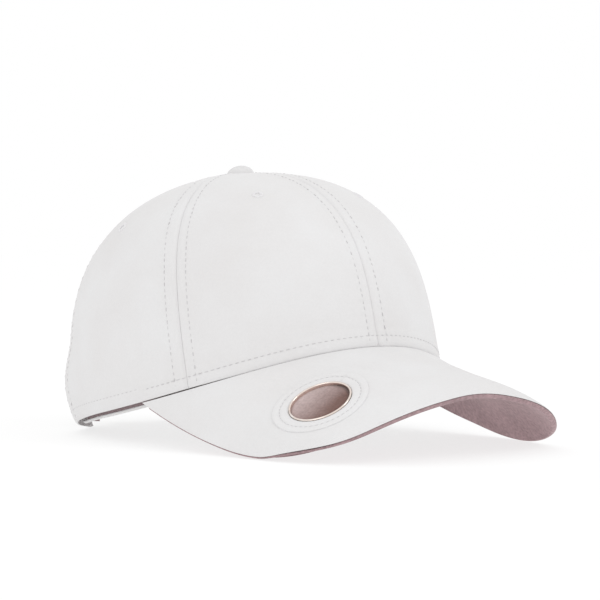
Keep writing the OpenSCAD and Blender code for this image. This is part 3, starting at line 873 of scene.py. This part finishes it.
def visor_top(x, w):
    """The visor's top: straight lines from crown to outline, with a hump in front and dips at the sides."""
    a, b = visor_join(x), visor_rim(x)
    reach = np.linalg.norm(b - a, axis=-1) / (VISOR_LEN - FRONT_LEN - CORNER_Y)
    dip = VISOR_DIP * ease((np.abs(x) - 20) / 36) * ease(w / 0.3) * np.sin(np.pi * w**0.66)
    up = reach * (1 - ease((np.abs(x) - 57) / 25)) * (VISOR_HUMP * np.sin(np.pi * w**3) - dip)
    return a + (b - a) * w[..., None] + up[..., None] * UP


def visor_normal(x, w):
    c = np.clip(x, -CORNER_X + 0.4, CORNER_X - 0.4)
    low, high = np.clip(w - 0.02, 0, 1), np.clip(w + 0.02, 0, 1)
    across = visor_top(c + 0.4, w) - visor_top(c - 0.4, w)
    return unit(np.cross(visor_top(c, high) - visor_top(c, low), across))


def visor_columns(count):
    """Places across the visor, even in the middle and closing on the outline's steep sides."""
    s = np.linspace(-1, 1, count)
    flat = math.degrees(math.acos(0.85 ** (VISOR_SQUARE / 2)))
    turn = mix(0.3, flat, np.clip(1 - (np.abs(s) - 0.6) / 0.4, 0, 1) ** 1.6)
    side = np.sign(s) * cosd(turn) ** (2 / VISOR_SQUARE)
    return CORNER_X * np.where(np.abs(s) <= 0.6, s / 0.6 * 0.85, side)


ring_x = np.array(RING_X)
ring_w = (RING_Y - visor_join(ring_x)[1]) / (visor_rim(ring_x)[1] - visor_join(ring_x)[1])
RING_C, RING_N = visor_top(ring_x, ring_w), visor_normal(ring_x, ring_w)
RING_U = unit(np.cross([0, 1.0, 0], RING_N))
RING_V = np.cross(RING_N, RING_U)
FLAT_IN, FLAT_OUT = 22.5, 37.0


def press_flat(p, depth):
    """The ring holds the visor flat round itself: brings near points to depth mm under its plane."""
    off = (p - RING_C) @ RING_N + depth
    away = p - RING_C
    far = np.linalg.norm(away - (away @ RING_N)[..., None] * RING_N, axis=-1)
    return p - (off * (1 - ease((far - FLAT_IN) / (FLAT_OUT - FLAT_IN))))[..., None] * RING_N


def open_ring(p, hole, reach=21.0):
    """Pushes points outward from the ring's axis to leave its hole, and says which cells stay."""
    away = p - RING_C
    high = (away @ RING_N)[..., None] * RING_N
    flat = away - high
    push, keep = hole_push(np.linalg.norm(flat, axis=-1), hole, reach, 1.7)
    return RING_C + high + flat * push[..., None], keep


ROLL_STEPS = 9
EDGE_GAP = 0.16
EDGE_SPLIT = 0.14  # share of the visor's thickness above the seam between its covers
COVER_HOLE, BOARD_HOLE = RING_BORE + 1.05, RING_BORE + 1.1
CLOTH_OVER_PLAN = (1.15, 1.13)  # how much longer the sloping cloth is than its plan, across and along


def edge_frame(x):
    """Along the outline: points, the ways out of the visor's top, and the ways straight out from its edge."""
    rim, n = visor_rim(x), visor_normal(x, np.ones_like(x))
    out = unit(np.cross(n, unit(np.gradient(rim, axis=0))))
    out *= np.sign(np.sum(out * (rim - visor_join(np.zeros(1))), -1, keepdims=True))
    return rim, n, out


def visor_cover(name, top, material, cols=181, rows=64):
    """One cover of the visor, from the crown to the outline, where it rolls over to the sewn edge."""
    x = visor_columns(cols)
    xg, wg = np.meshgrid(x, np.linspace(0.004, 1, rows), indexing="ij")
    n = visor_normal(xg, wg)
    rim, rim_n, out = edge_frame(x)
    roll, bulge = (0.6, 0.0) if top else (0.8, 0.4)
    depth, thick = (0.0, COVER_T) if top else (VISOR_T, -COVER_T)
    inset = ease((wg - 0.9) / 0.1)[..., None] * roll * out[:, None]
    face = visor_top(xg, wg) - inset - n * depth
    back = face - n * thick
    phi = np.linspace(0, 90, ROLL_STEPS + 1)[1:]
    share = EDGE_SPLIT if top else EDGE_SPLIT - 1
    sink = (VISOR_T * share - math.copysign(EDGE_GAP, share)) * (1 - cosd(phi))
    reach = (roll + bulge) * sind(phi)
    lip = (rim - out * roll)[:, None] + out[:, None] * reach[None, :, None]
    lip = lip - rim_n[:, None] * (depth + sink)[None, :, None]
    inner_lip = lip - out[:, None] * (COVER_T * sind(phi))[None, :, None]
    inner_lip = inner_lip - rim_n[:, None] * (thick * cosd(phi))[None, :, None]
    face, back = np.concatenate([face, lip], 1), np.concatenate([back, inner_lip], 1)
    ripple = 0.10 * np.sin(face[..., 0] * 0.11 + 1) * np.sin(face[..., 1] * 0.09)
    ripple = ripple + 0.05 * np.sin(face @ np.array([0.3, 0.2, 0.1]))
    ripple = ripple * ease(np.minimum(steps_along(face, 1), 12) / 12)
    ripple[:, rows:] = 0
    n_all = np.concatenate([n, np.repeat(rim_n[:, None], ROLL_STEPS, 1)], 1)
    face, back = face + n_all * ripple[..., None], back + n_all * ripple[..., None]
    face, back = press_flat(face, depth), press_flat(back, depth + thick)
    uv = face[..., :2] * CLOTH_OVER_PLAN
    if top:
        face, keep = open_ring(face, COVER_HOLE)
        back, _ = open_ring(back, COVER_HOLE)
        obj = shell(name, back, face, uv, keep)
    else:
        obj = shell(name, face, back, uv)
    dress(obj, material, name)


def visor_board():
    x = visor_columns(121) * 0.975
    xg, wg = np.meshgrid(x, np.linspace(0.03, 0.975, 40), indexing="ij")
    n = visor_normal(xg, wg)
    top, low = COVER_T + 0.12, VISOR_T - COVER_T - 0.12
    p = visor_top(xg, wg)
    upper, lower = press_flat(p - n * top, top), press_flat(p - n * low, low)
    upper, keep = open_ring(upper, BOARD_HOLE)
    lower, _ = open_ring(lower, BOARD_HOLE)
    dress(shell("visor_board", lower, upper, None, keep), "visor_board", "visor_board")


def edge_welt():
    """The sewn allowance that shows as a thin line between the two covers."""
    rim, n, out = edge_frame(visor_columns(181))
    middle = rim - n * VISOR_T * EDGE_SPLIT
    section = [(-2.2, -0.25), (-2.2, 0.1), (-0.35, 0.12), (-0.1, 0), (-0.35, -0.12)]
    welt = tube("visor_edge_welt", sweep(middle, section, out, n), strip_uv(walk(rim), section))
    dress(welt, "under_visor_cloth", "visor_edge_welt")


visor_cover("visor_top_cover", True, "cap_cloth")
visor_cover("visor_bottom_cover", False, "under_visor_cloth")
visor_board()
edge_welt()

# ---- Ringed recess ----
RING_AXES = (RING_U, RING_V, RING_N)
RING_WALL, DISC_OVERLAP, DISC_T = 0.6, 0.5, 0.65
FACING_ROW = 19.3  # radius of the facing's groove and of the stitches in it
# (radius, height) of the sewn facing: rolled inner edge, padded band, groove, second band, outer edge
FACING_PROFILE = [
    (15.15, -0.05), (15.15, 0.3), (15.35, 0.46), (15.8, 0.55), (17.6, 0.62), (18.7, 0.6), (19.1, 0.44),
    (FACING_ROW, 0.34), (19.5, 0.44), (19.95, 0.62), (21.4, 0.64), (22.2, 0.62), (22.7, 0.52), (22.95, 0.3),
    (23.05, -0.05), (19, -0.1),
]
# (radius, height above the ring's foot) of the plate's padded top, from its edge to its middle
DISC_TOP = [(13.9, -0.05), (13.6, 0.06), (12.6, 0.26), (10, 0.34), (6, 0.38), (0.02, 0.4)]


def arc(cx, cy, r, a, b, count):
    """Points of an arc from angle a to b, in degrees."""
    turn = np.radians(np.linspace(a, b, count))
    return [(cx + r * math.cos(q), cy + r * math.sin(q)) for q in turn]


def recess():
    """The rolled metal ring, the sewn facing round it and the cloth-covered plate across it."""
    outside = RING_BORE + RING_WALL
    profile = [(RING_BORE, RING_LOW), (outside, RING_LOW), (outside, 0.05)]
    profile += arc(RING_BORE + RING_LIP, RING_TOP - RING_LIP, RING_LIP, -60, 180, 21)
    dress(lathe("recess_ring", profile, RING_C, RING_AXES, 160), "polished_ring", "recess_ring")
    facing = lathe("recess_facing", FACING_PROFILE, RING_C, RING_AXES, 160)
    dress(facing, "cap_cloth", "recess_facing")
    disc_r = RING_BORE + DISC_OVERLAP
    profile = [(0.02, RING_LOW - DISC_T), (disc_r, RING_LOW - DISC_T), (disc_r, RING_LOW - 0.1)]
    profile += [(r, RING_LOW + h) for r, h in DISC_TOP]
    disc = lathe("recess_disc", profile, RING_C, RING_AXES, 96)
    # the plate's colour carries painted light and shade
    dress(disc, "under_visor_cloth", "recess_disc", look=disc_painted_shade_look())
    circle = round_about(np.linspace(0, 2 * np.pi, 200), RING_U, RING_V)
    row = (RING_C + circle * FACING_ROW + RING_N * 0.36, np.repeat(RING_N[None], 200, 0))
    sew("facing_stitches", [row], pitch=2.6, length=2.1, radius=0.2)


recess()

# ---- Top button and eyelets ----
APEX = np.array([0, APEX_Y, CROWN_H])
UPRIGHT = (np.array([1.0, 0, 0]), np.array([0, 1.0, 0]), UP)


def top_button():
    """The cloth-covered shell: a dome over a hollow that the shank fills."""
    half, high = 7.25, 6.0
    dome = []
    for q in np.radians(np.linspace(0, 89, 26)):
        dome.append((half * math.cos(q), 0.5 + (high - 0.5) * math.sin(q) ** 0.95))
    hollow = [(0.03, 3.9), (1.7, 3.9), (1.7, 0.1)]
    foot = [(half - 0.9, -0.55), (half - 0.15, -0.2)]
    shape = lathe("top_button_shell", hollow + foot + dome + [(0.03, high)], APEX, UPRIGHT, 96)
    dress(shape, "cap_cloth", "top_button_shell")


EYELET_ANGLES = (-150, -90, -30, 30, 90, 150)
EYELET_MID, EYELET_HALF, EYELET_HIGH = 2.02, 0.75, 0.42  # of the ring of thread: radius, half width, height
THREAD_TURNS, STEPS_PER_TURN, THREAD_SIDES = 44, 4, 12


def eyelet_rings(middle):
    """Outlines of one ring of satin stitches: a torus with a rib for every turn of its thread."""
    c, n = crown_point(middle, EYELET_V), crown_normal(middle, EYELET_V)
    u = unit(crown_point(middle + 0.5, EYELET_V) - crown_point(middle - 0.5, EYELET_V))
    lift = float(soft_waves(c[None], np.array([float(middle)]))[0])
    turn = np.linspace(0, 2 * np.pi, THREAD_TURNS * STEPS_PER_TURN, endpoint=False)
    rib = 1 + 0.13 * np.cos(turn * THREAD_TURNS)
    a = np.linspace(0, 2 * np.pi, THREAD_SIDES, endpoint=False)
    r = EYELET_MID + EYELET_HALF * np.cos(a)[None] * mix(1, rib, 0.5)[:, None]
    h = EYELET_HIGH * np.sin(a)[None] * rib[:, None] + 0.1 + lift
    h = np.where(np.sin(a)[None] < -0.1, h - 0.9, h)  # its lower half reaches down through the cloth
    return c + r[..., None] * round_about(turn[:, None], u, np.cross(n, u)) + h[..., None] * n


def vent_eyelets():
    rings = np.array([eyelet_rings(middle) for middle in EYELET_ANGLES])
    count, steps, sides = rings.shape[:3]
    faces = [ring_faces(steps, sides, True) + i * steps * sides for i in range(count)]
    made = link("vent_eyelets", rings.reshape(-1, 3), np.concatenate(faces))
    dress(made, "eyelet_thread", "vent_eyelets")


top_button()
vent_eyelets()

# ---- Back closure ----
STRAP_C = np.array([0, BACK_LEN - STRAP_R, 0])
BUCKLE_A, BAR_X, BAR_Y, BAR_R = 17.0, -6.2, 2.55, 0.7
TAB_IN, TAB_T, TAB_W = 78.3, 0.75, STRAP_W - 2
STRAP_CORNER = 0.35
STRAP_ENDS, TAB_END = (-48, 44), 46


def rounded_section(thick, width, corner):
    """Outline of a flat strap: (out from its inner face, up its width)."""
    r = min(corner, thick * 0.49)
    near, far, side = r, thick - r, width / 2 - r
    section = []
    for cx, cy, start in ((far, side, 0), (near, side, 90), (near, -side, 180), (far, -side, 270)):
        section += arc(cx, cy, r, start, start + 90, 4)
    return np.array(section)


def strap_arc(name, inner_r, thick, width, span, body, sink=0.1):
    """A strap round the closure's circle between two angles; returns its rows of stitches, sunk a little."""
    angle = np.linspace(*span, 90)
    section = rounded_section(thick, width, STRAP_CORNER)
    out = np.stack([-sind(angle), cosd(angle), 0 * angle], -1)
    p = STRAP_C + out * inner_r + UP * (STRAP_Z + STRAP_W / 2)
    uv = strip_uv(np.radians(angle) * inner_r, section)
    dress(tube(name, sweep(p, section, out, np.tile(UP, (90, 1))), uv), "strap_cloth", name, body=body)
    return [(p + out * (thick - sink) + UP * level * (width / 2 - 2), out) for level in (-1, 1)]


def tab_loop():
    """The short tab's fold round the buckle's bar."""
    out = np.array([-sind(BUCKLE_A), cosd(BUCKLE_A), 0])
    along = np.array([cosd(BUCKLE_A), sind(BUCKLE_A), 0])
    middle = STRAP_C + out * (STRAP_IN + BAR_Y) + along * BAR_X + UP * (STRAP_Z + STRAP_W / 2)
    half = TAB_W / 2
    r_in, r_out, soft = BAR_R + 0.08, BAR_R + 0.75, 0.2
    lower = [(r_in, -half), (r_out - soft, -half), (r_out, -half + soft)]
    upper = [(r_out, half - soft), (r_out - soft, half), (r_in, half)]
    dress(lathe("buckle_tab_loop", lower + upper, middle, (along, out, UP), 48), "strap_cloth")


def closure():
    """The sliding strap, the short tab and its loop; the buckle keeps its CAD shape."""
    rows = strap_arc("closure_strap", STRAP_IN, STRAP_T, STRAP_W, STRAP_ENDS, "strap")
    sew("strap_stitches", rows, "strap_cloth", "strap", radius=0.16)
    tab_start = BUCKLE_A - math.degrees(BAR_X / STRAP_IN) + 0.9
    rows = strap_arc("buckle_tab", TAB_IN, TAB_T, TAB_W, (tab_start, TAB_END), "cap")
    sew("tab_stitches", rows, "strap_cloth", radius=0.2)
    tab_loop()


closure()


def bevel_metal(name, slot, width=0.25):
    """A CAD metal piece keeps its shape, with its sharp edges eased and a plated look."""
    obj = nodes[name]
    obj.data.materials.clear()
    obj.data.materials.append(LOOKS[slot])
    eased = obj.modifiers.new("eased_edges", "BEVEL")
    eased.width, eased.segments = width / 1000, 3
    eased.limit_method, eased.angle_limit = "ANGLE", math.radians(50)


bevel_metal("buckle_frame", "buckle_metal")
bevel_metal("buckle_lever", "buckle_metal")
bevel_metal("buckle_pin", "button_metal", 0.15)
bevel_metal("top_button_shank", "button_metal", 0.15)

# ---- Floor, light and camera ----
FLOOR_REACH = 6.0
AIM = Vector((0, 0, 0.06))  # the lights point at the crown's middle
CAMERA_AZIMUTH, CAMERA_ELEVATION = math.radians(-36.41), math.radians(1.217)
CAMERA_DISTANCE, CAMERA_LENS, CAMERA_SHIFT = 1.1823, 140.5, (0.0748, -0.0368)
CAMERA_PIVOT = Vector((0, CENTRE_Y, LIFT + 59.1)) / 1000


def floor():
    """A lit white table: it glows a little, so that shadows on it stay soft."""
    mesh = bpy.data.meshes.new("floor")
    corners = [(x * FLOOR_REACH, y * FLOOR_REACH, 0) for x, y in ((-1, -1), (1, -1), (1, 1), (-1, 1))]
    mesh.from_pydata(corners, [], [(0, 1, 2, 3)])
    obj = add("floor", mesh)
    look = Look("pale_floor", roughness=0.9)
    look.colour(rgba((0.26, 0.26, 0.26)))
    look.fix(Specular_IOR_Level=0.0, Emission_Color=(1, 1, 1, 1), Emission_Strength=0.74)
    obj.data.materials.append(look.finish())


def area_light(name, place_m, size, watts):
    data = bpy.data.lights.new(name, "AREA")
    data.shape, data.size, data.energy = "DISK", size, watts
    obj = add(name, data)
    obj.location = place_m
    obj.rotation_euler = (AIM - Vector(place_m)).to_track_quat("-Z", "Y").to_euler()


def world(strength):
    made = bpy.data.worlds.new("studio")
    made.use_nodes = True
    background = made.node_tree.nodes["Background"]
    background.inputs["Color"].default_value = (1, 1, 1, 1)
    background.inputs["Strength"].default_value = strength
    bpy.context.scene.world = made


def camera():
    level = math.cos(CAMERA_ELEVATION)
    side, forward = math.sin(CAMERA_AZIMUTH) * level, -math.cos(CAMERA_AZIMUTH) * level
    back = Vector((side, forward, math.sin(CAMERA_ELEVATION)))
    data = bpy.data.cameras.new("camera")
    data.lens, data.sensor_width = CAMERA_LENS, 36.0
    data.shift_x, data.shift_y = CAMERA_SHIFT
    data.clip_start, data.clip_end = 0.01, 50
    obj = add("camera", data)
    obj.location = CAMERA_PIVOT + back * CAMERA_DISTANCE
    obj.rotation_euler = (-back).to_track_quat("-Z", "Y").to_euler()
    bpy.context.scene.camera = obj


floor()
world(1.0)
area_light("key", (0.9, -1.3, 1.3), 0.9, 5)
area_light("fill", (-1.5, -0.6, 0.5), 1.2, 3)
camera()
bpy.context.scene.view_settings.view_transform = "Standard"
